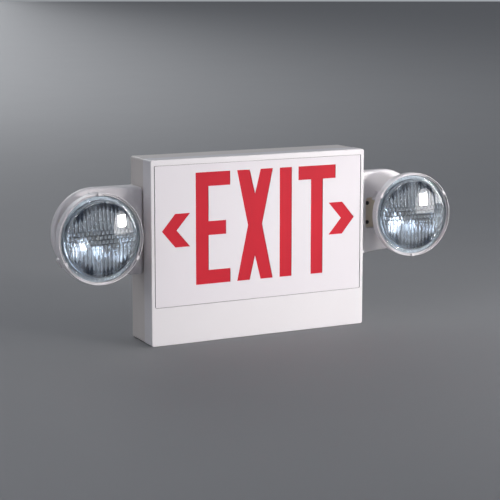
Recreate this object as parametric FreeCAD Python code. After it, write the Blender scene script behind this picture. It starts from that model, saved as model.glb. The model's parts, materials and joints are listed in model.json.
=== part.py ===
import FreeCAD, Part
import math
import os

# Combination emergency exit sign: a lit stencil sign box with two swivelling lamp heads on side arms.
# Frame: X to the right of the sign, Y into the wall, Z up. The origin is the centre of the wall-screw
# pattern on the flat back (Y = 0). All sizes are millimetres.

V = FreeCAD.Vector

# ---------------------------------------------------------------- driving dimensions
W = 326.0                 # sign box width
H = 251.0                 # sign box height
D = 71.0                  # sign box depth, wall to face
COVER_D = 25.4            # depth of the front cover flange
GAP = 0.5                 # parting gap between cover and back housing
STEP_IN = 0.5             # back housing's outline stands in from the cover's by this much
WALL = 2.5                # moulded wall
FACE_T = 3.0              # front cover face thickness
R_CORNER = 3.0            # corner radius of the box outline
R_EDGE = 1.2              # softening of the cover's front edge

PANEL_HW = 157.2          # half width of the stencil panel
PANEL_TOP = 117.5
PANEL_BOT = -73.0
PANEL_T = 1.9
PANEL_GAP = 0.9           # groove beside the panel
PANEL_GAP_Z = 0.5         # groove above and below it
WIN_HW = 150.0            # window behind the panel
WIN_TOP = 112.0
WIN_BOT = -67.0

LETTER_TOP = 105.9        # six inch legend
LETTER_BOT = -46.5
STROKE = 19.05            # three quarter inch stroke
LEGEND_Z = (LETTER_TOP + LETTER_BOT) / 2

ARM_Z = 28.65             # centre height of the side arms
ARM_R = 59.2              # half height and end radius of an arm
ARM_U = 61.0              # arm end centre, outboard of the box side
ARM_FRONT = 25.5          # depth of the arm's lip behind the sign face
ARM_PLATE = 46.5          # depth of the arm's flat outer floor
ARM_BACK = 56.0           # depth of the arm's back
ARM_WALL = 2.5
LIP_U = 6.0               # flat lip next to the box
COVE_R1 = 8.0             # convex roll from lip into the cove
COVE_R2 = 91.5            # hollow of the cove
COVE_ANG = 38.0
COVE_BOW = 230.0          # plan radius that the cove is swung about

PIV_U = 77.6              # lamp pivot, outboard of the box side
PIV_D = 35.0              # lamp pivot, behind the sign face
PIV_Z = 26.3
TOE = 3.6                 # heads stand turned in by this angle
UP = 2.7                  # and tipped up by this one
BASE_U0, BASE_U1 = 26.5, 111.5
BASE_HH = 22.0
BASE_T = 4.0
POCKET_D = 50.0

RIM_S = 49.0              # lamp rim plane ahead of the pivot
RIM_R = 59.7

OUT = "parts"
nodes = {}


# ---------------------------------------------------------------- helpers
def box(x0, x1, y0, y1, z0, z1):
    return Part.makeBox(x1 - x0, y1 - y0, z1 - z0, V(x0, y0, z0))


def cyl(r, p, d, h):
    return Part.makeCylinder(r, h, V(*p), V(*d))


def prism_xz(pts, y0, y1):
    """Closed polygon in X and Z, extruded from y0 to y1."""
    ps = [V(x, y0, z) for x, z in pts]
    face = Part.Face(Part.makePolygon(ps + [ps[0]]))
    return face.extrude(V(0, y1 - y0, 0))


def rounded_xz(x0, x1, z0, z1, r, y0, y1):
    """Rectangle with round corners in X and Z, extruded from y0 to y1."""
    b = box(x0, x1, y0, y1, z0, z1)
    edges = [e for e in b.Edges
             if abs(e.Vertexes[0].Point.y - e.Vertexes[1].Point.y) > abs(y1 - y0) * 0.9]
    return b.makeFillet(r, edges)


def revolve_y(pts):
    """Closed half profile of (radius, y), turned about the Y axis."""
    ps = [V(r, y, 0) for r, y in pts]
    face = Part.Face(Part.makePolygon(ps + [ps[0]]))
    return face.revolve(V(0, 0, 0), V(0, 1, 0), 360)


def arc_pts(cx, cy, r, a0, a1, n):
    return [(cx + r * math.cos(math.radians(a0 + (a1 - a0) * i / n)),
             cy + r * math.sin(math.radians(a0 + (a1 - a0) * i / n))) for i in range(n + 1)]


def group(solids):
    return Part.makeCompound(solids)


def mirror_x(shape):
    return shape.mirror(V(0, 0, 0), V(1, 0, 0))


def fuse(shapes):
    s = shapes[0].fuse(shapes[1:]) if len(shapes) > 1 else shapes[0]
    return s.removeSplitter()


def soften(shape, r, pick):
    """Rounds the picked edges, keeping the sharp shape if the edge set can't be rounded."""
    edges = [e for e in shape.Edges if pick(e)]
    try:
        s = shape.makeFillet(r, edges)
        if s.isValid() and s.Volume > 0:
            return s
    except Exception:
        pass
    print("edge left sharp", r, len(edges))
    return shape


def screw(p, d, shank_r, length, head_r, head_h, slot=True):
    """Pan head screw: p is the seat point under the head, d points from the seat out through the head."""
    dv = V(*d)
    h = Part.makeCylinder(head_r, head_h, V(*p), dv)
    h = soften(h, head_h * 0.55, lambda e: abs((e.CenterOfMass - V(*p)).dot(dv) - head_h) < 1e-6 and e.Length > 4)
    s = Part.makeCylinder(shank_r, length, V(*p), dv.multiply(-1))
    dv = V(*d)
    out = h.fuse(s).removeSplitter()
    if slot:
        # cross recess
        side = V(1, 0, 0) if abs(dv.x) < 0.5 else V(0, 0, 1)
        other = dv.cross(side)
        for a, b in ((side, other), (other, side)):
            bb = Part.makeBox(head_r * 1.15, head_r * 0.28, head_h)
            m = FreeCAD.Matrix(a.x, b.x, dv.x, 0, a.y, b.y, dv.y, 0, a.z, b.z, dv.z, 0, 0, 0, 0, 1)
            bb.translate(V(-head_r * 0.575, -head_r * 0.14, head_h * 0.45))
            bb = bb.transformGeometry(m)
            bb.translate(V(*p))
            out = out.cut(bb)
    return out


yf = -D                       # sign face
yp = -D + COVER_D             # parting plane

# ---------------------------------------------------------------- back housing
outer = rounded_xz(-W / 2 + STEP_IN, W / 2 - STEP_IN, -H / 2, H / 2 - STEP_IN, R_CORNER, yp + GAP, 0)
inner = rounded_xz(-W / 2 + WALL, W / 2 - WALL, -H / 2 + WALL, H / 2 - WALL, R_CORNER - 1, yp - 1, -WALL)
back = outer.cut(inner)
back = soften(back, 2.0, lambda e: abs(e.CenterOfMass.y) < 1e-6 and e.BoundBox.YLength < 1e-6)
# locating lip that the cover slides over
lip_o = rounded_xz(-W / 2 + WALL + 0.3, W / 2 - WALL - 0.3, -H / 2 + WALL + 0.3, H / 2 - WALL - 0.3, R_CORNER - 1.2, yp - 4, yp + GAP + 6)
lip_i = rounded_xz(-W / 2 + WALL + 2.0, W / 2 - WALL - 2.0, -H / 2 + WALL + 2.0, H / 2 - WALL - 2.0, R_CORNER - 2, yp - 6, yp + GAP + 8)
lip_ring = lip_o.cut(lip_i)
lip_join = rounded_xz(-W / 2 + 1, W / 2 - 1, -H / 2 + 1, H / 2 - 1, R_CORNER - 1, yp + GAP + 2, yp + GAP + 6).cut(lip_i)
back = back.fuse(lip_ring).fuse(lip_join).removeSplitter()
# ribs on the back wall and standoffs for the charger board
adds = []
for x in (-110.0, 110.0):
    adds.append(box(x - 0.9, x + 0.9, -9, -WALL + 0.2, 52, H / 2 - WALL + 0.3))
for z in (70.0,):
    adds.append(box(-W / 2 + WALL - 0.3, W / 2 - WALL + 0.3, -7, -WALL + 0.2, z - 0.9, z + 0.9))
BOARD = (12.0, 152.0, -114.0, -36.0)          # charger board x0, x1, z0, z1
BOARD_Y = -12.0
for x in (BOARD[0] + 5, BOARD[1] - 5):
    for z in (BOARD[2] + 5, BOARD[3] - 5):
        adds.append(cyl(3.2, (x, BOARD_Y, z), (0, 1, 0), -BOARD_Y - WALL + 0.2))
# cover screw bosses at the bottom, above the two closing screws
CLOSE_X = 118.0
for x in (-CLOSE_X, CLOSE_X):
    adds.append(box(x - 5, x + 5, yp + GAP + 6, yp + GAP + 18, -H / 2 + WALL - 0.3, -H / 2 + WALL + 8) )
back = back.fuse(adds).removeSplitter()
cuts = []
# wire entry, octagon box holes, single gang holes
cuts.append(cyl(11.1, (0, -20, 0), (0, 1, 0), 30))
for x, z in ((-44.45, 0), (44.45, 0), (0, -41.65), (0, 41.65)):
    cuts.append(cyl(2.4, (x, -20, z), (0, 1, 0), 30))
# arm feed holes and arm screw holes through both sides
ARM_Y = yf + 41.5                     # screw and wire line of the arm's root
ARM_SCREW_DZ = 42.0
for sx in (-1, 1):
    x0 = sx * (W / 2 - 12)
    cuts.append(cyl(7.1, (x0, ARM_Y, ARM_Z), (sx, 0, 0), 24))
    for dz in (-ARM_SCREW_DZ, ARM_SCREW_DZ):
        cuts.append(cyl(2.2, (x0, ARM_Y, ARM_Z + dz), (sx, 0, 0), 24))
# test button and pilot light holes in the right side, below the arm
BTN_Z, PILOT_Z, BTN_Y = -62.0, -80.0, -24.0
cuts.append(cyl(5.2, (W / 2 - 12, BTN_Y, BTN_Z), (1, 0, 0), 24))
cuts.append(cyl(4.05, (W / 2 - 12, BTN_Y, PILOT_Z), (1, 0, 0), 24))
# closing screw holes, up from the underside
for x in (-CLOSE_X, CLOSE_X):
    cuts.append(cyl(1.5, (x, yp + GAP + 12, -H / 2 - 5), (0, 0, 1), 14))
    cuts.append(cyl(3.8, (x, yp + GAP + 12, -H / 2 - 5), (0, 0, 1), 6.2))
for c in cuts:
    back = back.cut(c)
for x in (BOARD[0] + 5, BOARD[1] - 5):
    for z in (BOARD[2] + 5, BOARD[3] - 5):
        back = back.cut(cyl(1.2, (x, BOARD_Y - 1, z), (0, 1, 0), 8))
# pilot hole for the battery clamp's screw
CLAMP_X, CLAMP_Z = -86.0, -11.5
back = back.cut(cyl(1.75, (CLAMP_X, -5, CLAMP_Z), (0, 1, 0), 4.3))
nodes["back_housing"] = back

# ---------------------------------------------------------------- front cover
outer = rounded_xz(-W / 2, W / 2, -H / 2, H / 2, R_CORNER, yf, yp)
outer = soften(outer, R_EDGE, lambda e: abs(e.CenterOfMass.y - yf) < 1e-6 and e.BoundBox.YLength < 1e-6)
inner = rounded_xz(-W / 2 + WALL, W / 2 - WALL, -H / 2 + WALL, H / 2 - WALL, R_CORNER - 1, yf + FACE_T, yp + 1)
cover = outer.cut(inner)
pocket = rounded_xz(-PANEL_HW - PANEL_GAP, PANEL_HW + PANEL_GAP, PANEL_BOT - PANEL_GAP_Z, PANEL_TOP + PANEL_GAP_Z, 2.0, yf - 1, yf + 2.0)
window = rounded_xz(-WIN_HW, WIN_HW, WIN_BOT, WIN_TOP, 3.0, yf - 1, yf + 6)
cover = cover.cut(pocket).cut(window)
# inner snap hooks that reach back over the housing lip, and a shelf for the light box
hooks = []
for x in (-100.0, 100.0):
    hooks.append(box(x - 6, x + 6, yf + FACE_T - 0.2, yp + 7, H / 2 - WALL - 4.6, H / 2 - WALL - 2.6))
    hooks.append(box(x - 6, x + 6, yp + 5, yp + 7, H / 2 - WALL - 6.2, H / 2 - WALL - 4.4))
cover = cover.fuse(hooks).removeSplitter()
nodes["front_cover"] = cover

# ---------------------------------------------------------------- legend shapes
s = STROKE
T, B = LETTER_TOP, LETTER_BOT
M = LEGEND_Z
E_ = [(-98.0, T), (-46.5, T), (-46.5, T - s), (-98.0 + s, T - s), (-98.0 + s, M + s / 2), (-52.8, M + s / 2),
      (-52.8, M - s / 2), (-98.0 + s, M - s / 2), (-98.0 + s, B + s), (-46.5, B + s), (-46.5, B), (-98.0, B)]
XC = -9.0
X_ = [(XC - 27.4, T), (XC - 8.0, T), (XC, T - 33.0), (XC + 8.4, T), (XC + 27.4, T), (XC + 10.9, M),
      (XC + 27.4, B), (XC + 8.4, B), (XC, B + 33.0), (XC - 8.0, B), (XC - 27.4, B), (XC - 10.9, M)]
I_ = [(28.9, T), (28.9 + s, T), (28.9 + s, B), (28.9, B)]
T_ = [(58.0, T), (117.3, T), (117.3, T - s), (87.4 + s / 2, T - s), (87.4 + s / 2, B), (87.4 - s / 2, B), (87.4 - s / 2, T - s), (58.0, T - s)]
CV = 22.7
CL = [(-147.4, M), (-128.2, M + CV), (-106.2, M + CV), (-126.0, M), (-106.2, M - CV), (-128.2, M - CV)]
CR = [(-x, z) for x, z in reversed(CL)]
LEGEND = [E_, X_, I_, T_, CL, CR]

# ---------------------------------------------------------------- stencil panel and red diffuser
panel = rounded_xz(-PANEL_HW, PANEL_HW, PANEL_BOT, PANEL_TOP, 1.6, yf, yf + PANEL_T)
panel = soften(panel, 0.35, lambda e: abs(e.CenterOfMass.y - yf) < 1e-6 and e.BoundBox.YLength < 1e-6)
for poly in LEGEND:
    panel = panel.cut(prism_xz(poly, yf - 1, yf + PANEL_T + 1))
nodes["exit_panel"] = panel

diff = rounded_xz(-WIN_HW + 0.4, WIN_HW - 0.4, WIN_BOT + 0.4, WIN_TOP - 0.4, 2.6, yf + PANEL_T + 0.1, yf + PANEL_T + 1.5)
for poly in LEGEND:
    diff = diff.fuse(prism_xz(poly, yf + 0.7, yf + PANEL_T + 1.0))
diff = diff.removeSplitter()
nodes["legend_diffuser"] = diff

# ---------------------------------------------------------------- light box, lamp strips
LB0, LB1 = yf + PANEL_T + 1.6, yp + 2.5
lb = box(-WIN_HW + 1.5, WIN_HW - 1.5, LB0, LB1, WIN_BOT + 1.5, WIN_TOP - 1.5)
lb = lb.cut(box(-WIN_HW + 3.2, WIN_HW - 3.2, LB0 - 1, LB1 - 1.6, WIN_BOT + 3.2, WIN_TOP - 3.2))
nodes["light_box"] = lb
for name, zc, zl in (("led_board_top", WIN_TOP - 3.3 - 1.2, -1), ("led_board_bottom", WIN_BOT + 3.3, 1)):
    b = box(-WIN_HW + 8, WIN_HW - 8, LB0 + 5, LB0 + 15, zc, zc + 1.2)
    nodes[name] = b
    leds = []
    n = 9
    for i in range(n):
        x = -WIN_HW + 24 + i * (2 * WIN_HW - 48) / (n - 1)
        if zl < 0:
            leds.append(box(x - 2.5, x + 2.5, LB0 + 7.5, LB0 + 12.5, zc - 1.7, zc))
        else:
            leds.append(box(x - 2.5, x + 2.5, LB0 + 7.5, LB0 + 12.5, zc + 1.2, zc + 2.9))
    nodes[name.replace("board", "chips")] = group(leds)

# ---------------------------------------------------------------- battery
BX0, BX1, BZ0, BZ1, BY0, BY1 = -157.0, -14.0, -114.5, -20.5, -38.5, -4.5
bat = box(BX0, BX1, BY0, BY1, BZ0, BZ1)
bat = bat.makeFillet(1.6, bat.Edges)
bat = bat.cut(box(BX0 + 4, BX1 - 4, BY0 + 3, BY1 - 3, BZ1 - 1.0, BZ1 + 1))
nodes["battery"] = bat
tabs = []
for x in (BX0 + 14, BX1 - 14):
    tabs.append(fuse([box(x - 3.2, x + 3.2, BY0 + 10, BY0 + 10.8, BZ1 - 1.0, BZ1 + 6.5),
                      box(x - 3.2, x + 3.2, BY0 + 10, BY0 + 17, BZ1 - 1.0, BZ1 - 0.2)]))
nodes["battery_terminals"] = group(tabs)
# sprung steel clamp over the battery, foot tabs on the back wall
st = [box(CLAMP_X - 10, CLAMP_X + 10, BY0 - 1.3, BY0 - 0.1, BZ0 + 6, BZ1 + 2.2),
      box(CLAMP_X - 10, CLAMP_X + 10, BY0 - 1.3, -WALL, BZ1 + 1.0, BZ1 + 2.2),
      box(CLAMP_X - 10, CLAMP_X + 10, -WALL - 1.2, -WALL, BZ1 + 1.0, BZ1 + 14)]
strap = fuse(st)
strap = strap.cut(cyl(1.8, (CLAMP_X, -10, CLAMP_Z), (0, 1, 0), 12))
nodes["battery_clamp"] = strap
nodes["clamp_screw"] = screw((CLAMP_X, -WALL - 1.2, CLAMP_Z), (0, -1, 0), 1.7, 2.8, 3.2, 2.0)

# ---------------------------------------------------------------- charger board
x0, x1, z0, z1 = BOARD
board = rounded_xz(x0, x1, z0, z1, 2.0, BOARD_Y - 1.6, BOARD_Y)
for x in (x0 + 5, x1 - 5):
    for z in (z0 + 5, z1 - 5):
        board = board.cut(cyl(1.7, (x, BOARD_Y - 3, z), (0, 1, 0), 6))
nodes["charger_board"] = board
nodes["board_screws"] = group([screw((x, BOARD_Y - 1.6, z), (0, -1, 0), 1.15, 7.0, 2.9, 1.9)
                               for x in (x0 + 5, x1 - 5) for z in (z0 + 5, z1 - 5)])
by = BOARD_Y - 1.6
# transformer: stacked core with the winding bobbin through it
tx, tz = x0 + 36, z0 + 34
core = box(tx - 21, tx + 21, by - 26, by - 6, tz - 18, tz + 18)
coil = box(tx - 14, tx + 14, by - 29, by - 0.0, tz - 11, tz + 11)
coil = coil.makeFillet(3.0, [e for e in coil.Edges if abs(e.Vertexes[0].Point.z - e.Vertexes[1].Point.z) > 10])
core = core.cut(box(tx - 14, tx + 14, by - 40, by + 10, tz - 11, tz + 11))
nodes["transformer_core"] = core
nodes["transformer_coil"] = coil
caps = []
for i, (cx_, cz_) in enumerate(((x0 + 80, z0 + 20), (x0 + 80, z0 + 40))):
    c = cyl(8.0, (cx_, by, cz_), (0, -1, 0), 24)
    c = soften(c, 1.0, lambda e: abs(e.CenterOfMass.y - (by - 24)) < 1e-6 and e.Length > 20)
    caps.append(c)
nodes["capacitors"] = group(caps)
relay = box(x0 + 100, x0 + 119, by - 15.5, by, z0 + 12, z0 + 40)
nodes["relay"] = relay.makeFillet(0.8, relay.Edges)
hs = [box(x0 + 96, x0 + 130, by - 22, by - 0.0, z1 - 22, z1 - 20)]
for i in range(6):
    hs.append(box(x0 + 96 + i * 6.4, x0 + 98 + i * 6.4, by - 22, by - 0.0, z1 - 20.2, z1 - 11))
nodes["heat_sink"] = fuse(hs)
tb = box(x0 + 24, x0 + 74, by - 12, by, z1 - 22, z1 - 10)
for i in range(5):
    tb = tb.cut(cyl(2.4, (x0 + 29 + i * 10, by - 14, z1 - 16), (0, 1, 0), 5))
    tb = tb.cut(box(x0 + 26.2 + i * 10, x0 + 31.8 + i * 10, by - 8, by - 3, z1 - 12, z1 - 9))
nodes["terminal_block"] = tb
nodes["terminal_screws"] = group([screw((x0 + 29 + i * 10, by - 9.4, z1 - 16), (0, -1, 0), 1.2, 0.3, 2.0, 1.4) for i in range(5)])

# ---------------------------------------------------------------- test button and pilot light (right side)
xs = W / 2 - STEP_IN
SIDE_WALL = WALL - STEP_IN
sw = box(xs - SIDE_WALL - 16, xs - SIDE_WALL, BTN_Y - 8, BTN_Y + 8, BTN_Z - 8, BTN_Z + 8)
sw = sw.makeFillet(1.0, [e for e in sw.Edges if abs(e.Vertexes[0].Point.x - e.Vertexes[1].Point.x) > 10])
sw = sw.cut(cyl(6.2, (xs - SIDE_WALL - 9, BTN_Y, BTN_Z), (1, 0, 0), 12))
nodes["test_switch"] = sw
BTN_TRAVEL = 2.5
btn = fuse([cyl(4.5, (xs - SIDE_WALL - 4.5, BTN_Y, BTN_Z), (1, 0, 0), SIDE_WALL + 4.5 + 3.4),
            cyl(5.9, (xs - SIDE_WALL - 4.5, BTN_Y, BTN_Z), (1, 0, 0), 3.8)])
btn = soften(btn, 0.9, lambda e: abs(e.CenterOfMass.x - (xs + 3.4)) < 1e-6)
nodes["test_button"] = btn
bez = cyl(8.0, (xs, BTN_Y, BTN_Z), (1, 0, 0), 1.2).cut(cyl(5.2, (xs - 1, BTN_Y, BTN_Z), (1, 0, 0), 4))
bez = soften(bez, 0.6, lambda e: abs(e.CenterOfMass.x - (xs + 1.2)) < 1e-6 and e.Length > 40)
nodes["button_bezel"] = bez
pl = fuse([cyl(4.0, (xs - SIDE_WALL - 9, BTN_Y, PILOT_Z), (1, 0, 0), SIDE_WALL + 9 + 0.6), cyl(5.2, (xs, BTN_Y, PILOT_Z), (1, 0, 0), 0.9)])
dome = Part.makeSphere(5.4, V(xs - 2.6, BTN_Y, PILOT_Z)).common(cyl(3.9, (xs + 0.4, BTN_Y, PILOT_Z), (1, 0, 0), 5))
nodes["pilot_light"] = fuse([pl, dome])

# closing screws in the underside
nodes["closing_screws"] = group([screw((x, yp + GAP + 12, -H / 2 + 1.2), (0, 0, -1), 1.5, 7.6, 3.4, 1.0) for x in (-CLOSE_X, CLOSE_X)])


# ---------------------------------------------------------------- arm (right hand, mirrored for the left)
def cove_profile(t):
    """Front line of the arm in plan, as (outboard, depth behind the face), moved back by t."""
    a = math.radians(COVE_ANG)
    pts_lip = (LIP_U, ARM_FRONT + t)
    c1 = (LIP_U, ARM_FRONT + COVE_R1)
    r1 = COVE_R1 - t
    p1 = (c1[0] + r1 * math.sin(a), c1[1] - r1 * math.cos(a))
    m1 = (c1[0] + r1 * math.sin(a / 2), c1[1] - r1 * math.cos(a / 2))
    q1 = (c1[0] + COVE_R1 * math.sin(a), c1[1] - COVE_R1 * math.cos(a))
    c2 = (q1[0] + COVE_R2 * math.sin(a), q1[1] - COVE_R2 * math.cos(a))
    r2 = COVE_R2 + t
    m2 = (c2[0] - r2 * math.sin(a / 2), c2[1] + r2 * math.cos(a / 2))
    p2 = (c2[0], c2[1] + r2)
    return pts_lip, m1, p1, m2, p2


def to_xyz(u, d, z=0.0):
    return V(W / 2 + u, yf + d, z)


def arm_cut(t):
    """Body in front of the arm's front surface moved back by t: the plan line turned about a far upright line,
    so that the lip's edge is slightly bowed."""
    lip, m1, p1, m2, p2 = cove_profile(t)
    ax_u = LIP_U + COVE_BOW
    top_d = ARM_FRONT - 20
    e = [Part.makeLine(to_xyz(lip[0], top_d), to_xyz(lip[0], lip[1])),
         Part.Arc(to_xyz(*lip), to_xyz(*m1), to_xyz(*p1)).toShape(),
         Part.Arc(to_xyz(*p1), to_xyz(*m2), to_xyz(*p2)).toShape(),
         Part.makeLine(to_xyz(*p2), to_xyz(150, p2[1])),
         Part.makeLine(to_xyz(150, p2[1]), to_xyz(150, top_d)),
         Part.makeLine(to_xyz(150, top_d), to_xyz(lip[0], top_d))]
    face = Part.Face(Part.Wire(e))
    face.rotate(to_xyz(ax_u, 0), V(0, 1, 0), -38)
    body = face.revolve(to_xyz(ax_u, 0), V(0, 1, 0), 76)
    body.translate(V(0, 0, ARM_Z))
    return body


def d_outline(r, d0, d1, u0=0.0):
    """D shaped block of half height r between two depths."""
    x0 = W / 2 + u0
    xc = W / 2 + ARM_U
    b = box(x0, xc, yf + d0, yf + d1, ARM_Z - r, ARM_Z + r)
    c = Part.makeCylinder(r, d1 - d0, V(xc, yf + d0, ARM_Z), V(0, 1, 0))
    return b.fuse(c).removeSplitter()


def make_arm():
    block = d_outline(ARM_R, ARM_FRONT, ARM_BACK)
    arm = block.cut(arm_cut(0.0))
    arm = arm.removeSplitter()

    def front_rim(e):
        # outline edges of the front surface: on the D outline, ahead of the back face
        bb = e.BoundBox
        if bb.YMax > yf + ARM_BACK - 2:
            return False
        for vtx in (e.valueAt(e.FirstParameter), e.valueAt((e.FirstParameter + e.LastParameter) / 2), e.valueAt(e.LastParameter)):
            u = vtx.x - W / 2
            if u < 0.5 and e.Length > 80 and abs(bb.XLength) < 1:
                return False
            if u <= ARM_U:
                r = abs(vtx.z - ARM_Z)
            else:
                r = math.hypot(u - ARM_U, vtx.z - ARM_Z)
            if abs(r - ARM_R) > 0.05:
                return False
        return True
    arm = soften(arm, 3.5, front_rim)
    arm = soften(arm, 1.2, lambda e: abs(e.CenterOfMass.y - (yf + ARM_BACK)) < 1e-6 and e.BoundBox.YLength < 1e-6 and e.BoundBox.XMax > W / 2 + 1)
    # softened root, where the arm stands against the box
    arm = soften(arm, 5.5, lambda e: e.Length > 10 and abs(e.BoundBox.XMin - W / 2) < 1e-4 and abs(e.BoundBox.XMax - W / 2) < 1e-4
                 and e.BoundBox.YMax < yf + ARM_FRONT + 8 and e.BoundBox.ZLength > 20)
    # raised seat that carries the arm on the box's side
    arm = arm.fuse(box(W / 2 - STEP_IN, W / 2 + 1.5, yf + 31, yf + 52, ARM_Z - 50, ARM_Z + 50)).removeSplitter()
    # hollow from behind, leaving the pad that the swivel base sits in
    cav = d_outline(ARM_R - ARM_WALL, ARM_FRONT + ARM_WALL, ARM_BACK + 1, u0=ARM_WALL)
    cav = cav.cut(arm_cut(ARM_WALL))
    pad = box(W / 2 + BASE_U0 - 4, W / 2 + BASE_U1 + 4, yf + 20, yf + ARM_BACK - 2.2, PIV_Z - BASE_HH - 4, PIV_Z + BASE_HH + 4)
    cav = cav.cut(pad)
    for dz in (-ARM_SCREW_DZ, ARM_SCREW_DZ):
        cav = cav.cut(cyl(4.2, (W / 2, ARM_Y, ARM_Z + dz), (1, 0, 0), 14))
    arm = arm.cut(cav)
    # pocket for the swivel base, base screw holes, lamp lead hole
    arm = arm.cut(rounded_xz(W / 2 + BASE_U0 - 0.5, W / 2 + BASE_U1 + 0.5, PIV_Z - BASE_HH - 0.5, PIV_Z + BASE_HH + 0.5, 3.0, yf + 20, yf + POCKET_D))
    arm = arm.cut(cyl(5.0, (W / 2 + 56, yf + 20, PIV_Z), (0, 1, 0), 40))
    for u, dz in BASE_SCREWS:
        arm = arm.cut(cyl(1.3, (W / 2 + u, yf + 40, PIV_Z + dz), (0, 1, 0), 13.0))
    # root: wire hole and screw pilots
    arm = arm.cut(cyl(7.1, (W / 2 - 2, ARM_Y, ARM_Z), (1, 0, 0), 6))
    for dz in (-ARM_SCREW_DZ, ARM_SCREW_DZ):
        arm = arm.cut(cyl(1.6, (W / 2 - 2, ARM_Y, ARM_Z + dz), (1, 0, 0), 13))
    return arm


BASE_SCREWS = [(33.6, 14.0), (33.6, -14.0), (107.4, 14.0), (107.4, -14.0)]


def make_arm_back():
    p = d_outline(ARM_R - ARM_WALL - 0.15, ARM_BACK - 2.0, ARM_BACK, u0=ARM_WALL + 0.15)
    for u, z in ((16, ARM_Z + 40), (16, ARM_Z - 40), (100, ARM_Z + 30), (100, ARM_Z - 30)):
        p = p.cut(cyl(1.8, (W / 2 + u, yf + ARM_BACK - 4, z), (0, 1, 0), 8))
    for k in range(5):
        z = ARM_Z - 12 + 6 * k
        p = p.cut(rounded_xz(W / 2 + 55, W / 2 + 85, z - 1.2, z + 1.2, 1.1, yf + ARM_BACK - 4, yf + ARM_BACK + 2))
    return p


# ---------------------------------------------------------------- swivel base and universal joint
EAR_Z0, EAR_Z1 = 7.1, 11.1
LUG_X0, LUG_X1 = 7.3, 11.0
PAN_R, TILT_R = 2.0, 2.5
px, py, pz = W / 2 + PIV_U, yf + PIV_D, PIV_Z
base_y0, base_y1 = yf + POCKET_D - BASE_T, yf + POCKET_D


def make_base():
    p = rounded_xz(W / 2 + BASE_U0, W / 2 + BASE_U1, PIV_Z - BASE_HH, PIV_Z + BASE_HH, 2.6, base_y0, base_y1)
    p = soften(p, 0.8, lambda e: abs(e.CenterOfMass.y - base_y0) < 1e-6 and e.BoundBox.YLength < 1e-6)
    ears = []
    for sgn in (-1, 1):
        z0_, z1_ = sorted((pz + sgn * EAR_Z0, pz + sgn * EAR_Z1))
        e = box(px - 4.5, px + 4.5, py, base_y0 + 0.5, z0_, z1_).fuse(cyl(4.5, (px, py, z0_), (0, 0, 1), z1_ - z0_))
        # web back to the plate
        wz0, wz1 = sorted((pz + sgn * EAR_Z1, pz + sgn * (EAR_Z1 + 6)))
        tri = [V(px - 1.2, base_y0 + 0.5, pz + sgn * (EAR_Z1 - 0.2)), V(px - 1.2, py + 3, pz + sgn * (EAR_Z1 - 0.2)),
               V(px - 1.2, base_y0 + 0.5, pz + sgn * (EAR_Z1 + 6))]
        w = Part.Face(Part.makePolygon(tri + [tri[0]])).extrude(V(2.4, 0, 0))
        ears += [e, w]
    p = p.fuse(ears).removeSplitter()
    for sgn in (-1, 1):
        z0_ = min(pz + sgn * (EAR_Z0 - 1), pz + sgn * (EAR_Z1 + 1))
        p = p.cut(cyl(PAN_R, (px, py, z0_), (0, 0, 1), EAR_Z1 - EAR_Z0 + 2))
    for u, dz in BASE_SCREWS:
        p = p.cut(cyl(1.9, (W / 2 + u, base_y0 - 2, PIV_Z + dz), (0, 1, 0), 10))
    p = p.cut(cyl(5.0, (W / 2 + 56, base_y0 - 2, PIV_Z), (0, 1, 0), 10))
    return p


def make_base_screws():
    return group([screw((W / 2 + u, base_y0, PIV_Z + dz), (0, -1, 0), 1.3, 6.8, 2.9, 2.0) for u, dz in BASE_SCREWS])


def make_pan_pins():
    out = []
    for sgn in (-1, 1):
        a, b = sorted((pz + sgn * 3.6, pz + sgn * (EAR_Z1 + 0.0)))
        pin = cyl(PAN_R, (px, py, a), (0, 0, 1), b - a)
        h0 = pz + EAR_Z1 if sgn > 0 else pz - EAR_Z1 - 1.4
        head = cyl(3.4, (px, py, h0), (0, 0, 1), 1.4)
        out.append(fuse([pin, head]))
    return group(out)


def make_knuckle():
    k = box(-6.8, 6.8, -4.0, 4.0, -6.8, 6.8)
    k = k.makeFillet(1.5, [e for e in k.Edges if abs(e.Vertexes[0].Point.z - e.Vertexes[1].Point.z) > 5])
    k = k.cut(cyl(TILT_R + 0.05, (-10, 0, 0), (1, 0, 0), 20))
    for a in (3.3, -7.3):
        k = k.cut(cyl(PAN_R + 0.05, (0, 0, a), (0, 0, 1), 4.0))
    return k


def make_tilt_pin():
    pin = cyl(TILT_R, (-LUG_X1, 0, 0), (1, 0, 0), 2 * LUG_X1)
    return fuse([pin, cyl(4.0, (LUG_X1, 0, 0), (1, 0, 0), 1.6), cyl(3.6, (-LUG_X1 - 1.2, 0, 0), (1, 0, 0), 1.2)])


# ---------------------------------------------------------------- lamp head, forward is -Y, pivot at the origin
CUP_BACK = -14.0
CUP_R = 55.0
CUP_ARC = 22.0
CUP_LIP_R = 57.6
BOSS_R = 59.2
SEAT_Y = -41.4


def ang_place(shape, deg):
    """Turns a piece made at the top of the head round to another clock angle (seen from the front, X right, Z up)."""
    s2 = shape.copy()
    s2.rotate(V(0, 0, 0), V(0, 1, 0), -(deg - 90))
    return s2


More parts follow.
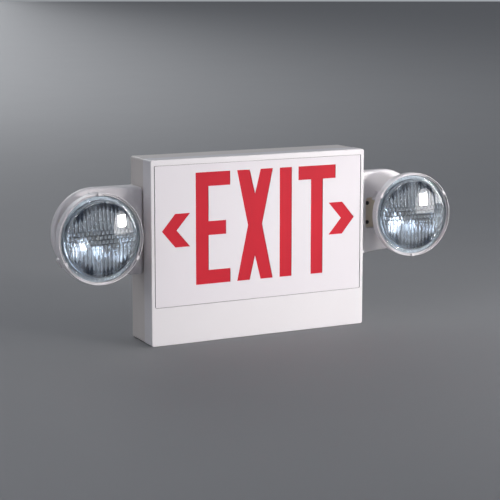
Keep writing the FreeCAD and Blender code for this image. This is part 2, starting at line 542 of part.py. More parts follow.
def make_cup(angles):
    yc = CUP_BACK - CUP_ARC
    rc = CUP_R - CUP_ARC
    n = 10
    outer_arc = [(rc + CUP_ARC * math.cos(math.radians(90 - 90 * i / n)), yc + CUP_ARC * math.sin(math.radians(90 - 90 * i / n))) for i in range(n + 1)]
    t = 2.4
    ri = CUP_ARC - t
    inner_arc = [(rc + ri * math.cos(math.radians(90 * i / n)), yc + ri * math.sin(math.radians(90 * i / n))) for i in range(n + 1)]
    def rev(edges):
        return Part.Face(Part.Wire(edges)).revolve(V(0, 0, 0), V(0, 1, 0), 360)
    def v(r, y):
        return V(r, y, 0)
    a45 = math.radians(45)
    E = [Part.makeLine(v(0, CUP_BACK), v(rc, CUP_BACK)),
         Part.Arc(v(rc, CUP_BACK), v(rc + CUP_ARC * math.cos(a45), yc + CUP_ARC * math.sin(a45)), v(CUP_R, yc)).toShape(),
         Part.makeLine(v(CUP_R, yc), v(CUP_R, SEAT_Y + 3.4)),
         Part.makeLine(v(CUP_R, SEAT_Y + 3.4), v(CUP_LIP_R, SEAT_Y + 2.6)),
         Part.makeLine(v(CUP_LIP_R, SEAT_Y + 2.6), v(CUP_LIP_R, SEAT_Y)),
         Part.makeLine(v(CUP_LIP_R, SEAT_Y), v(CUP_R - t, SEAT_Y)),
         Part.makeLine(v(CUP_R - t, SEAT_Y), v(CUP_R - t, yc)),
         Part.Arc(v(CUP_R - t, yc), v(rc + ri * math.cos(a45), yc + ri * math.sin(a45)), v(rc, CUP_BACK - t)).toShape(),
         Part.makeLine(v(rc, CUP_BACK - t), v(0, CUP_BACK - t)),
         Part.makeLine(v(0, CUP_BACK - t), v(0, CUP_BACK))]
    cup = rev(E)
    adds, cuts_ = [], []
    # latch bosses behind the rim
    for a in angles:
        b = box(-7.0, 7.0, -36.0, -25.0, CUP_R - 1.6, BOSS_R)
        b = b.makeFillet(1.0, [e for e in b.Edges if e.BoundBox.ZMin > BOSS_R - 0.1 or abs(e.BoundBox.YMax + 25.0) < 1e-6])
        adds.append(ang_place(b, a))
        sl = box(-4.8, 4.8, -34.9, -32.3, CUP_R - 4, BOSS_R + 6)
        cuts_.append(ang_place(sl, a))
        for k in range(3):
            cuts_.append(ang_place(box(-5.6, 5.6, -31.2 + 1.9 * k, -30.1 + 1.9 * k, BOSS_R - 2.0, BOSS_R + 6), a))
    # lugs for the tilt pin
    for sx in (-1, 1):
        a, b = sorted((sx * LUG_X0, sx * LUG_X1))
        adds.append(box(a, b, CUP_BACK - 0.5, 0, -4.5, 4.5))
        adds.append(cyl(4.5, (a, 0, 0), (1, 0, 0), b - a))
    # vent slots in the back
    cup = cup.fuse(adds).removeSplitter()
    for sx in (-1, 1):
        a, b = sorted((sx * (LUG_X0 - 1), sx * (LUG_X1 + 1)))
        cuts_.append(cyl(TILT_R, (a, 0, 0), (1, 0, 0), b - a))
        for k in range(3):
            xx = sx * (20 + 6 * k)
            cuts_.append(box(xx - 1.3, xx + 1.3, CUP_BACK - 8, CUP_BACK + 2, -9, 9))
    for c in cuts_:
        cup = cup.cut(c)
    return cup


def make_ring(angles):
    y0 = -RIM_S
    prof = [(RIM_R, -37.6), (RIM_R, y0 + 0.45), (RIM_R - 0.3, y0), (RIM_R - 0.8, y0), (RIM_R - 1.05, y0 + 0.4), (RIM_R - 1.15, y0 + 3.4),
            (57.15, y0 + 3.4), (57.1, y0 + 1.9), (56.95, y0 + 1.6), (56.65, y0 + 1.6), (56.45, y0 + 1.9), (56.25, y0 + 3.0),
            (56.1, -44.95), (57.5, -44.95), (57.8, -37.6)]
    ring = revolve_y(prof)
    for a in angles:
        for xx in (-3.9, 3.9):
            ring = ring.cut(ang_place(box(xx - 0.5, xx + 0.5, y0 - 1, y0 + 2.6, 55.0, RIM_R + 2), a))
    tabs_ = []
    for a in angles:
        tb_ = box(-2.9, 2.9, y0 - 0.35, y0 + 3.4, 56.2, RIM_R + 0.25)
        tb_ = tb_.makeFillet(0.6, [e for e in tb_.Edges if abs(e.BoundBox.YMax - (y0 - 0.35)) < 1e-6])
        tabs_.append(ang_place(tb_, a))
        # strap that reaches back to the cup's latch
        st_ = box(-4.0, 4.0, -38.0, -36.2, RIM_R - 1.85, RIM_R - 0.15)
        tabs_.append(ang_place(st_, a))
    ring = ring.fuse(tabs_).removeSplitter()
    return ring


LENS_R = 49.6
LENS_EDGE_Y = -52.0
LENS_CROWN = 4.0


def make_lens():
    def v(r, y):
        return V(r, y, 0)
    ye = LENS_EDGE_Y
    rs = (LENS_R ** 2 + LENS_CROWN ** 2) / (2 * LENS_CROWN)
    t = 2.4
    yc = ye - LENS_CROWN + rs                      # centre of the front sphere
    rin = LENS_R - t
    # inner sphere is concentric
    ri = rs - t
    yi_edge = yc - math.sqrt(ri ** 2 - rin ** 2)
    m_out = LENS_R / 2
    m_in = rin / 2
    E = [Part.Arc(v(0, yc - rs), v(m_out, yc - math.sqrt(rs ** 2 - m_out ** 2)), v(LENS_R, ye)).toShape(),
         Part.makeLine(v(LENS_R, ye), v(LENS_R + 0.5, -44.7)),
         Part.makeLine(v(LENS_R + 0.5, -44.7), v(56.9, -44.9)),
         Part.makeLine(v(56.9, -44.9), v(56.9, -42.7)),
         Part.makeLine(v(56.9, -42.7), v(rin, -42.7)),
         Part.makeLine(v(rin, -42.7), v(rin, yi_edge)),
         Part.Arc(v(rin, yi_edge), v(m_in, yc - math.sqrt(ri ** 2 - m_in ** 2)), v(0, yc - ri)).toShape(),
         Part.makeLine(v(0, yc - ri), v(0, yc - rs))]
    lens = Part.Face(Part.Wire(E)).revolve(V(0, 0, 0), V(0, 1, 0), 360)
    return lens


def make_reflector():
    # paraboloid bowl with a flat flange that sits on the cup's edge
    r0, y0 = 9.2, -22.0
    r1, y1 = 50.6, -42.6
    k = (r1 ** 2 - r0 ** 2) / (y0 - y1)
    n = 14
    inn = []
    for i in range(n + 1):
        r = r0 + (r1 - r0) * i / n
        inn.append((r, y0 - (r * r - r0 * r0) / k))
    outp = [(r + 0.9, y + 0.9) for r, y in inn]
    prof = inn + [(56.9, y1), (56.9, y1 + 1.15)] + [(r1 + 1.2, y1 + 1.15)] + list(reversed(outp[:-1]))
    body = revolve_y(prof)
    return body


def make_bulb():
    # halogen capsule with its pinch seal
    cap = cyl(5.2, (0, -24, 0), (0, -1, 0), 9).fuse(Part.makeSphere(5.2, V(0, -33, 0)))
    cap = cap.fuse(box(-4.2, 4.2, -24.5, -21.9, -1.6, 1.6))
    cap = cap.fuse(cyl(5.2, (0, -24.5, 0), (0, -1, 0), 1))
    return cap.removeSplitter()


def make_socket():
    sk = fuse([cyl(8.6, (0, CUP_BACK - 2.45, 0), (0, -1, 0), 7.95), cyl(6.6, (0, CUP_BACK - 2.45 - 7.9, 0), (0, -1, 0), 2.0)])
    sk = sk.cut(box(-4.2, 4.2, -26, -21.9, -1.6, 1.6))
    # round seat for the capsule's foot
    return sk.cut(cyl(5.25, (0, -23.95, 0), (0, -1, 0), 4.0))


def make_seal():
    return revolve_y([(45.9, -46.6), (47.05, -46.8), (47.05, -42.7), (45.9, -42.7)])


def place_head(shape, side):
    """Turns a head piece from its own frame to its stance on the given side."""
    s2 = shape.copy()
    s2.rotate(V(0, 0, 0), V(1, 0, 0), -UP)
    s2.rotate(V(0, 0, 0), V(0, 0, 1), -side * TOE)
    s2.translate(V(side * px, py, pz))
    return s2


TABS = {1: (30, 150, 270), -1: (90, 210, 330)}
arm_r = make_arm()
arm_back_r = make_arm_back()
base_r = make_base()
base_screws_r = make_base_screws()
pan_pins_r = make_pan_pins()
grommet = cyl(9.0, (W / 2 - WALL - 1.8, ARM_Y, ARM_Z), (1, 0, 0), 1.8).fuse(cyl(7.0, (W / 2 - WALL - 1.0, ARM_Y, ARM_Z), (1, 0, 0), 2 * WALL + 1.5))
grommet = grommet.fuse(cyl(9.0, (W / 2 + ARM_WALL, ARM_Y, ARM_Z), (1, 0, 0), 1.6))
grommet = grommet.cut(cyl(5.2, (W / 2 - 12, ARM_Y, ARM_Z), (1, 0, 0), 24)).removeSplitter()
arm_screws_r = group([screw((W / 2 - WALL, ARM_Y, ARM_Z + dz), (-1, 0, 0), 1.6, 13.0, 3.6, 2.4) for dz in (-ARM_SCREW_DZ, ARM_SCREW_DZ)])

for side, name in ((-1, "left"), (1, "right")):
    def hand(shape):
        return shape if side > 0 else mirror_x(shape)
    nodes[name + "_arm"] = hand(arm_r)
    nodes[name + "_arm_back"] = hand(arm_back_r)
    nodes[name + "_arm_grommet"] = hand(grommet)
    nodes[name + "_arm_screws"] = hand(arm_screws_r)
    nodes[name + "_swivel_base"] = hand(base_r)
    nodes[name + "_base_screws"] = hand(base_screws_r)
    nodes[name + "_pan_pins"] = hand(pan_pins_r)
    k = make_knuckle()
    k.rotate(V(0, 0, 0), V(0, 0, 1), -side * TOE)
    k.translate(V(side * px, py, pz))
    nodes[name + "_knuckle"] = k
    nodes[name + "_tilt_pin"] = place_head(make_tilt_pin(), side)
    nodes[name + "_lamp_cup"] = place_head(make_cup(TABS[side]), side)
    nodes[name + "_lamp_ring"] = place_head(make_ring(TABS[side]), side)
    nodes[name + "_reflector"] = place_head(make_reflector(), side)
    nodes[name + "_lens"] = place_head(make_lens(), side)
    nodes[name + "_bulb"] = place_head(make_bulb(), side)
    nodes[name + "_lamp_socket"] = place_head(make_socket(), side)
    nodes[name + "_lens_seal"] = place_head(make_seal(), side)

# ---------------------------------------------------------------- write
os.makedirs(OUT, exist_ok=True)
for f in os.listdir(OUT):
    if f.endswith(".step") and f[:-5] not in nodes:
        os.remove(os.path.join(OUT, f))
bad = 0
for name, shape in nodes.items():
    ok = shape.isValid()
    n = len(shape.Solids)
    if not ok or n < 1:
        bad += 1
        print("CHECK", name, "valid", ok, "solids", n)
    shape.exportStep(os.path.join(OUT, name + ".step"))
print("nodes", len(nodes), "bad", bad)
print("solids per node", {k: len(s.Solids) for k, s in nodes.items() if len(s.Solids) != 1})
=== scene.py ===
import bpy
import bmesh
import json
import math
from mathutils import Matrix, Vector


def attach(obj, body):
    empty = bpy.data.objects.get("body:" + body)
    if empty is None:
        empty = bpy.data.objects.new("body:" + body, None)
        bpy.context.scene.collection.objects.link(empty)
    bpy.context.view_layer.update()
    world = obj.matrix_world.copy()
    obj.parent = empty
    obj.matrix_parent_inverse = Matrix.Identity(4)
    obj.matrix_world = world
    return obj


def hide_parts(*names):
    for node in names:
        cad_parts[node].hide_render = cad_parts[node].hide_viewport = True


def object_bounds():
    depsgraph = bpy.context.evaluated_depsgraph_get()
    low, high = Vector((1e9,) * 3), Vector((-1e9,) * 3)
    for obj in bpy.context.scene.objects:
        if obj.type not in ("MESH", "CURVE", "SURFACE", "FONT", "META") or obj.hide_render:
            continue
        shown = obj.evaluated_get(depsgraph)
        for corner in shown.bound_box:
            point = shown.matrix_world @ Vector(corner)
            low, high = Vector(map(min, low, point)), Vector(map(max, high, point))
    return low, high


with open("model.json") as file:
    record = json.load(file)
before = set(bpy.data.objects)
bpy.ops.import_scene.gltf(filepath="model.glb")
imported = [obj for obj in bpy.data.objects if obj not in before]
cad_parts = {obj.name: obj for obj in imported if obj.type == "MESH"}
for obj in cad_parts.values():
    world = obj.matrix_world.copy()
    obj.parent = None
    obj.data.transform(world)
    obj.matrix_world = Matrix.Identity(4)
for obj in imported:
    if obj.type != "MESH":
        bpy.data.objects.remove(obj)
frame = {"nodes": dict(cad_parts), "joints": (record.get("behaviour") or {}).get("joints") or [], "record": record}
cad_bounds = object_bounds()


MM = 0.001
scene = bpy.context.scene
nodes = frame["nodes"]
SIDES = (("left", -1), ("right", 1))


# ---------------------------------------------------------------- materials
def new_mat(name):
    m = bpy.data.materials.new(name)
    m.use_nodes = True
    nt = m.node_tree
    nt.nodes.clear()
    out = nt.nodes.new("ShaderNodeOutputMaterial")
    b = nt.nodes.new("ShaderNodeBsdfPrincipled")
    nt.links.new(b.outputs["BSDF"], out.inputs["Surface"])
    return m, nt, b


def noise(nt, scale, detail=3.0, rough=0.5, coord=None, stretch=None):
    tc = coord or nt.nodes.new("ShaderNodeTexCoord")
    n = nt.nodes.new("ShaderNodeTexNoise")
    n.inputs["Scale"].default_value = scale
    n.inputs["Detail"].default_value = detail
    n.inputs["Roughness"].default_value = rough
    if stretch:
        mp = nt.nodes.new("ShaderNodeMapping")
        mp.inputs["Scale"].default_value = stretch
        nt.links.new(tc.outputs["Object"], mp.inputs["Vector"])
        nt.links.new(mp.outputs["Vector"], n.inputs["Vector"])
    else:
        nt.links.new(tc.outputs["Object"], n.inputs["Vector"])
    return n


def ramp(nt, src, stops):
    r = nt.nodes.new("ShaderNodeValToRGB")
    cr = r.color_ramp
    while len(cr.elements) < len(stops):
        cr.elements.new(0.5)
    for e, (p, c) in zip(cr.elements, stops):
        e.position = p
        e.color = (c[0], c[1], c[2], 1)
    nt.links.new(src, r.inputs["Fac"])
    return r


def shade(c, k):
    return tuple(max(0.0, min(1.0, v * k)) for v in c[:3])


def surface(name, color, rough=0.4, spread=0.03, big=9.0, fine=900.0, bump=0.00002, metallic=0.0, rough_spread=0.05,
            coat=0.0, coat_rough=0.1, ior=1.46, sub=0.0, spec=0.5, stretch=None, tint=None, emit=None, trans=0.0):
    """Moulded or coated surface: slow colour drift, roughness drift and a fine bump."""
    m, nt, b = new_mat(name)
    tc = nt.nodes.new("ShaderNodeTexCoord")
    n1 = noise(nt, big, 4, 0.55, tc, stretch)
    hi = tint or shade(color, 1 + spread)
    r1 = ramp(nt, n1.outputs["Fac"], [(0.32, shade(color, 1 - spread)), (0.68, hi)])
    nt.links.new(r1.outputs["Color"], b.inputs["Base Color"])
    n2 = noise(nt, big * 5.3, 3, 0.6, tc, stretch)
    mr = nt.nodes.new("ShaderNodeMapRange")
    mr.inputs["To Min"].default_value = max(0.02, rough - rough_spread)
    mr.inputs["To Max"].default_value = min(1.0, rough + rough_spread)
    nt.links.new(n2.outputs["Fac"], mr.inputs["Value"])
    nt.links.new(mr.outputs["Result"], b.inputs["Roughness"])
    if bump:
        n3 = noise(nt, fine, 2, 0.5, tc, stretch)
        bp = nt.nodes.new("ShaderNodeBump")
        bp.inputs["Strength"].default_value = 1.0
        bp.inputs["Distance"].default_value = bump
        nt.links.new(n3.outputs["Fac"], bp.inputs["Height"])
        nt.links.new(bp.outputs["Normal"], b.inputs["Normal"])
    b.inputs["Metallic"].default_value = metallic
    b.inputs["IOR"].default_value = ior
    b.inputs["Specular IOR Level"].default_value = spec
    b.inputs["Coat Weight"].default_value = coat
    b.inputs["Coat Roughness"].default_value = coat_rough
    if sub:
        b.inputs["Subsurface Weight"].default_value = sub
        b.inputs["Subsurface Radius"].default_value = (0.004, 0.003, 0.003)
        b.inputs["Subsurface Scale"].default_value = 0.5
    if emit:
        b.inputs["Emission Color"].default_value = (*emit[0], 1)
        b.inputs["Emission Strength"].default_value = emit[1]
    b.inputs["Transmission Weight"].default_value = trans
    return m


def glass(name, color=(0.93, 0.97, 1.0), rough=0.0, ior=1.47, drift=0.02):
    m, nt, b = new_mat(name)
    n1 = noise(nt, 40.0, 2, 0.5)
    r1 = ramp(nt, n1.outputs["Fac"], [(0.3, shade(color, 1 - drift)), (0.7, color)])
    nt.links.new(r1.outputs["Color"], b.inputs["Base Color"])
    n2 = noise(nt, 320.0, 2, 0.5)
    bp = nt.nodes.new("ShaderNodeBump")
    bp.inputs["Strength"].default_value = 1.0
    bp.inputs["Distance"].default_value = 0.00001
    nt.links.new(n2.outputs["Fac"], bp.inputs["Height"])
    nt.links.new(bp.outputs["Normal"], b.inputs["Normal"])
    b.inputs["Roughness"].default_value = rough
    b.inputs["IOR"].default_value = ior
    b.inputs["Transmission Weight"].default_value = 1.0
    return m


def fluted_glass(name, color=(0.91, 0.965, 1.0), valley=(0.03, 0.05, 0.09), ior=1.5):
    """Clear pressed glass with painted shade darkening its flute valleys and flute ends, and painted highlight streaks
    on the flute tops, in the lens's own coordinates.
    """
    m, nt, b = new_mat(name)

    def val(op, x, y=None, z=None):
        n = nt.nodes.new("ShaderNodeMath")
        n.operation = op
        for i, v in enumerate((x, y, z)):
            if v is None:
                continue
            if isinstance(v, (int, float)):
                n.inputs[i].default_value = v
            else:
                nt.links.new(v, n.inputs[i])
        return n.outputs["Value"]

    def step(v, lo, hi, a=0.0, c=1.0):
        n = nt.nodes.new("ShaderNodeMapRange")
        n.interpolation_type = "SMOOTHSTEP"
        n.inputs["From Min"].default_value = lo
        n.inputs["From Max"].default_value = hi
        n.inputs["To Min"].default_value = a
        n.inputs["To Max"].default_value = c
        nt.links.new(v, n.inputs["Value"])
        return n.outputs["Result"]

    tc = nt.nodes.new("ShaderNodeTexCoord")
    at = nt.nodes.new("ShaderNodeAttribute")
    at.attribute_name = "head_mm"
    sp = nt.nodes.new("ShaderNodeSeparateXYZ")
    nt.links.new(at.outputs["Vector"], sp.inputs["Vector"])
    x, z = sp.outputs["X"], sp.outputs["Z"]
    r = val("SQRT", val("ADD", val("MULTIPLY", x, x), val("MULTIPLY", z, z)))
    az = val("ABSOLUTE", z)
    brick = step(az, 11.9, 12.1, 1.0, 0.0)
    row = val("FLOOR", val("DIVIDE", val("ADD", z, 12.0), 6.0))
    odd = val("ABSOLUTE", val("MODULO", row, 2.0))
    shift = val("MULTIPLY", val("MULTIPLY", odd, brick), PITCH / 2)
    t = val("ABSOLUTE", val("SUBTRACT", val("MULTIPLY", val("FRACT", val("DIVIDE", val("ADD", x, shift), PITCH)), 2.0), 1.0))
    w = val("ABSOLUTE", val("SUBTRACT", val("MULTIPLY", val("FRACT", val("DIVIDE", val("ADD", z, 12.0), 6.0)), 2.0), 1.0))
    # painted shade: dark lines along the flute valleys and, across the middle band, along the brick joints
    line = step(t, 0.70, 0.98)
    line = val("MAXIMUM", line, val("MULTIPLY", step(w, 0.70, 0.98), brick))
    # painted shade at the flute ends: the dark lines widen into dark teeth towards the top and bottom edges
    ends = val("MULTIPLY", step(r, 33.0, 45.0), step(az, 18.0, 30.0))
    teeth = step(val("ADD", t, ends), 0.98, 1.12)
    teeth = val("MULTIPLY", teeth, step(ends, 0.05, 0.25))
    inside = step(r, 47.9, 48.2, 1.0, 0.0)
    dark = val("MULTIPLY", val("MAXIMUM", line, teeth), inside)
    # the strength of the painted shade varies under a slow noise stretched upright
    n1 = noise(nt, 70.0, 3, 0.6, tc, (1.0, 1.0, 0.25))
    drift = val("MULTIPLY", dark, step(n1.outputs["Fac"], 0.30, 0.62, 0.35, 1.0))
    # painted highlight streaks: the flute tops vary from clear blue-grey to the pale full tint in fine upright streaks
    n2 = noise(nt, 330.0, 2, 0.6, tc, (1.0, 1.0, 0.10))
    painted_glint_streaks = step(n2.outputs["Fac"], 0.38, 0.62, 0.22, 0.0)
    tone = val("ADD", drift, val("MULTIPLY", painted_glint_streaks, step(drift, 0.0, 0.5, 1.0, 0.0)))
    r1 = ramp(nt, tone, [(0.0, color), (1.0, valley)])
    nt.links.new(r1.outputs["Color"], b.inputs["Base Color"])
    b.inputs["Roughness"].default_value = 0.0
    b.inputs["IOR"].default_value = ior
    b.inputs["Transmission Weight"].default_value = 0.87
    return m


def mirror(name, color=(0.86, 0.90, 0.96), rough=0.03):
    m, nt, b = new_mat(name)
    n1 = noise(nt, 60.0, 3, 0.5)
    r1 = ramp(nt, n1.outputs["Fac"], [(0.3, shade(color, 0.96)), (0.7, color)])
    nt.links.new(r1.outputs["Color"], b.inputs["Base Color"])
    b.inputs["Metallic"].default_value = 1.0
    b.inputs["Roughness"].default_value = rough
    return m


WHITE = (0.80, 0.775, 0.795)
PITCH = 5.6                       # lens flutes, mm
MAT = {
    "housing_white": surface("housing_white", WHITE, rough=0.42, spec=0.4, spread=0.012, big=7.0, fine=1400.0, bump=0.000012, rough_spread=0.04, sub=0.0),
    "panel_white": surface("panel_white", (0.80, 0.765, 0.80), rough=0.50, spec=0.30, spread=0.010, big=6.0, fine=1600.0, bump=0.000008, rough_spread=0.03),
    "legend_red": surface("legend_red", (0.60, 0.016, 0.033), rough=0.60, spec=0.15, spread=0.05, big=14.0, fine=1100.0, bump=0.000006, rough_spread=0.04),
    "inner_white": surface("inner_white", (0.85, 0.85, 0.85), rough=0.25),
    "led_board": surface("led_board", (0.78, 0.80, 0.74), rough=0.35, spread=0.05, big=60.0),
    "led_chip": surface("led_chip", (0.85, 0.62, 0.12), rough=0.25, spread=0.1, big=300.0),
    "battery_case": surface("battery_case", (0.028, 0.028, 0.031), rough=0.5, spread=0.15, big=30.0, bump=0.00003),
    "plated_steel": surface("plated_steel", (0.55, 0.54, 0.50), rough=0.32, spread=0.08, big=80.0, metallic=1.0, stretch=(1, 1, 9)),
    "screw_steel": surface("screw_steel", (0.50, 0.49, 0.46), rough=0.30, spread=0.10, big=260.0, metallic=1.0, rough_spread=0.1),
    "circuit_green": surface("circuit_green", (0.012, 0.11, 0.035), rough=0.28, spread=0.25, big=90.0, coat=0.3),
    "core_steel": surface("core_steel", (0.16, 0.155, 0.15), rough=0.45, spread=0.2, big=40.0, metallic=0.9, stretch=(1, 14, 1)),
    "coil_yellow": surface("coil_yellow", (0.62, 0.36, 0.03), rough=0.35, spread=0.12, big=60.0),
    "capacitor_sleeve": surface("capacitor_sleeve", (0.012, 0.014, 0.032), rough=0.25, spread=0.2, big=80.0),
    "relay_case": surface("relay_case", (0.03, 0.09, 0.30), rough=0.3, spread=0.1, big=60.0),
    "heat_sink_metal": surface("heat_sink_metal", (0.60, 0.61, 0.62), rough=0.35, spread=0.07, big=80.0, metallic=1.0, stretch=(1, 1, 8)),
    "terminal_green": surface("terminal_green", (0.02, 0.20, 0.06), rough=0.4, spread=0.1, big=80.0),
    "switch_black": surface("switch_black", (0.018, 0.018, 0.018), rough=0.38, spread=0.2, big=120.0),
    "button_red": surface("button_red", (0.46, 0.012, 0.012), rough=0.22, spread=0.08, big=150.0, coat=0.3),
    "pilot_lens": surface("pilot_lens", (0.03, 0.42, 0.07), rough=0.12, spread=0.12, big=200.0, coat=0.6),
    "seal_rubber": surface("seal_rubber", (0.38, 0.42, 0.48), rough=0.45, spread=0.2, big=120.0),
    "bracket_beige": surface("bracket_beige", (0.78, 0.70, 0.56), rough=0.45, spread=0.04, big=30.0, fine=1200.0, bump=0.00001),
    "grommet_rubber": surface("grommet_rubber", (0.02, 0.02, 0.02), rough=0.65, spread=0.2, big=120.0),
    "reflector_mirror": mirror("reflector_mirror"),
    "lens_glass": fluted_glass("lens_glass"),
    "bulb_glass": glass("bulb_glass", (0.97, 0.98, 1.0)),
    "socket_ceramic": surface("socket_ceramic", (0.13, 0.14, 0.16), rough=0.55, spread=0.06, big=120.0, bump=0.00003),
    # painted shade: a darker, browner copy of the housing white for the back housing, whose sides and top sit in shade
    "housing_back_painted_shade": surface("housing_back_painted_shade", (0.72, 0.675, 0.65), rough=0.46, spec=0.4, spread=0.02, big=14.0, fine=900.0, bump=0.00001),
    "groove_shade": surface("groove_shade", (0.22, 0.20, 0.215), rough=0.6, spread=0.1, big=60.0),
    "flange_metal": surface("flange_metal", (0.72, 0.76, 0.82), rough=0.42, spread=0.10, big=120.0, metallic=1.0, bump=0.0),
    # painted shade: near-black steel for the base screws, so they read as the dark holes they sit in
    "screw_steel_painted_shade": surface("screw_steel_painted_shade", (0.035, 0.033, 0.03), rough=0.4, spread=0.2, big=200.0, metallic=0.6),
    "filament": surface("filament", (0.30, 0.28, 0.26), rough=0.3, spread=0.15, big=900.0, metallic=1.0, bump=0),
}
slot_of = {s["node"]: s["material_slot"] for s in frame["record"]["subparts"]}
# painted shade: the back housing takes the darker copy of the housing white, and the base screws take near-black steel
for n, o in nodes.items():
    mat = MAT[{"back_housing": "housing_back_painted_shade", "left_base_screws": "screw_steel_painted_shade", "right_base_screws": "screw_steel_painted_shade"}.get(n, slot_of[n])]
    o.data.materials.clear()
    o.data.materials.append(mat)
    for p in o.data.polygons:
        p.material_index = 0

# the narrow groove round the stencil panel holds shade on its walls
PANEL = (0.1572, -0.0730, 0.1175)
face_y = min((nodes["exit_panel"].matrix_world @ v.co).y for v in nodes["exit_panel"].data.vertices)
for n in ("exit_panel", "front_cover"):
    o = nodes[n]
    o.data.materials.append(MAT["groove_shade"])
    m3 = o.matrix_world.to_3x3()
    for p in o.data.polygons:
        c = o.matrix_world @ p.center
        nv = m3 @ p.normal
        if c.y > face_y + 0.0028 or c.y < face_y + 0.0001:
            continue
        by_side = abs(abs(c.x) - PANEL[0]) < 0.0012 and abs(nv.x) > 0.7 and PANEL[1] - 0.001 < c.z < PANEL[2] + 0.001
        by_end = min(abs(c.z - PANEL[1]), abs(c.z - PANEL[2])) < 0.0008 and abs(nv.z) > 0.7 and abs(c.x) < PANEL[0] + 0.002
        if by_side or by_end:
            p.material_index = 1


# ---------------------------------------------------------------- helpers for new pieces
def mesh_object(name, verts, faces, mat, smooth=True):
    me = bpy.data.meshes.new(name)
    me.from_pydata([tuple(v) for v in verts], [], faces)
    me.validate()
    if smooth:
        for p in me.polygons:
            p.use_smooth = True
    me.materials.append(mat)
    o = bpy.data.objects.new(name, me)
    scene.collection.objects.link(o)
    return o


joints = {j["name"]: j for j in frame["joints"]}
UP = math.radians(2.7)            # how far the heads are tipped up at rest


def head_matrix(name):
    j = joints[name + "_tilt"]
    ax = Vector(j["axis"])
    toe = math.atan2(ax.y, ax.x)
    return Matrix.Translation(Vector(j["pos_m"])) @ Matrix.Rotation(toe, 4, "Z") @ Matrix.Rotation(-UP, 4, "X")


def lathe(profile, seg, closed=True):
    """Profile of (radius, y) turned about the Y axis. Returns vertices and faces."""
    vs, fs = [], []
    n = len(profile)
    for i in range(seg):
        a = 2 * math.pi * i / seg
        for r, y in profile:
            vs.append((r * math.cos(a), y, r * math.sin(a)))
    m = n if closed else n - 1
    for i in range(seg):
        k = (i + 1) % seg
        for q in range(m):
            q2 = (q + 1) % n
            fs.append((i * n + q, i * n + q2, k * n + q2, k * n + q))
    return vs, fs


# ---------------------------------------------------------------- lamp lens: crowned glass, moulded with upright flutes inside
LENS_R, EDGE_Y, CROWN, THICK = 49.6, -52.0, 4.0, 2.6
RS = (LENS_R ** 2 + CROWN ** 2) / (2 * CROWN)


def dome_y(r, off=0.0):
    yc = EDGE_Y - CROWN + RS
    return yc - math.sqrt(max((RS - off) ** 2 - r * r, 0))


FLUTE_H = 0.72
FLUTE_R = ((PITCH / 2) ** 2 + FLUTE_H ** 2) / (2 * FLUTE_H)


def arc(t, half, rad, h):
    """Round back of a flute: height at t = -1..1 across its half width."""
    return math.sqrt(max(0.0, rad * rad - (t * half) ** 2)) - (rad - h)


def flute(x, z):
    """Height of the moulded pattern at a point of the glass's inner side: upright flutes, and bricks across the middle."""
    rows = 6.0
    if abs(z) < 12.0:
        k = math.floor((z + 12.0) / rows)
        t = ((x + (PITCH / 2 if k % 2 else 0.0)) / PITCH) % 1.0 * 2 - 1
        w = ((z + 12.0) / rows) % 1.0 * 2 - 1
        return arc(t, PITCH / 2, FLUTE_R, FLUTE_H) * (1 - 0.45 * w * w)
    t = (x / PITCH) % 1.0 * 2 - 1
    return arc(t, PITCH / 2, FLUTE_R, FLUTE_H)


def disc_grid(n, radius):
    """Square grid drawn onto a disc: returns (x, z) rows."""
    pts = []
    for i in range(n + 1):
        for j in range(n + 1):
            u, v = 2 * i / n - 1, 2 * j / n - 1
            pts.append((radius * u * math.sqrt(1 - v * v / 2), radius * v * math.sqrt(1 - u * u / 2)))
    return pts


def build_lens(name):
    rin = LENS_R - 1.3
    n = 250
    vs, fs = [], []
    for x, z in disc_grid(n, rin):
        r = math.hypot(x, z)
        vs.append((x, dome_y(r, THICK) + 0.2 + flute(x, z) * min(1.0, max(0.0, (rin - r) / 0.8)), z))
    for i in range(n):
        for j in range(n):
            a = i * (n + 1) + j
            fs.append((a, a + n + 1, a + n + 2, a + 1))
    rim = [j for j in range(n + 1)] + [i * (n + 1) + n for i in range(1, n + 1)] + \
          [n * (n + 1) + j for j in range(n - 1, -1, -1)] + [i * (n + 1) for i in range(n - 1, 0, -1)]
    # skirt, flange with its moulded ridge, and the smooth crown
    prof = [(rin, -43.6), (rin + 0.8, -42.75), (56.6, -42.75), (56.85, -43.1), (56.85, -44.5), (56.5, -44.88), (55.0, -44.88), (54.7, -45.5),
            (53.6, -45.5), (53.3, -44.88), (51.6, -44.88), (50.6, -45.2), (50.25, -46.0), (49.95, -50.6), (49.6, -51.45)]
    for r in (48.9, 47.0, 44.0, 40.0, 35.0, 29.0, 22.0, 14.0, 6.0):
        prof.append((r, dome_y(r) + (0.12 if r > 48.5 else 0.0)))
    cnt = len(rim)
    angs = [math.atan2(vs[k][2], vs[k][0]) for k in rim]
    base = len(vs)
    for r, y in prof:
        for a in angs:
            vs.append((r * math.cos(a), y, r * math.sin(a)))
    last = base + (len(prof) - 1) * cnt
    vs.append((0.0, dome_y(0.0), 0.0))
    tip = len(vs) - 1
    for c in range(cnt):
        d = (c + 1) % cnt
        fs.append((rim[c], rim[d], base + d, base + c))
        for q in range(len(prof) - 1):
            fs.append((base + q * cnt + c, base + q * cnt + d, base + (q + 1) * cnt + d, base + (q + 1) * cnt + c))
        fs.append((last + c, last + d, tip))
    vs = [(x * MM, y * MM, z * MM) for x, y, z in vs]
    o = mesh_object(name, vs, fs, MAT["lens_glass"])
    bm = bmesh.new()
    bm.from_mesh(o.data)
    bmesh.ops.recalc_face_normals(bm, faces=bm.faces)
    bm.to_mesh(o.data)
    bm.free()
    return o


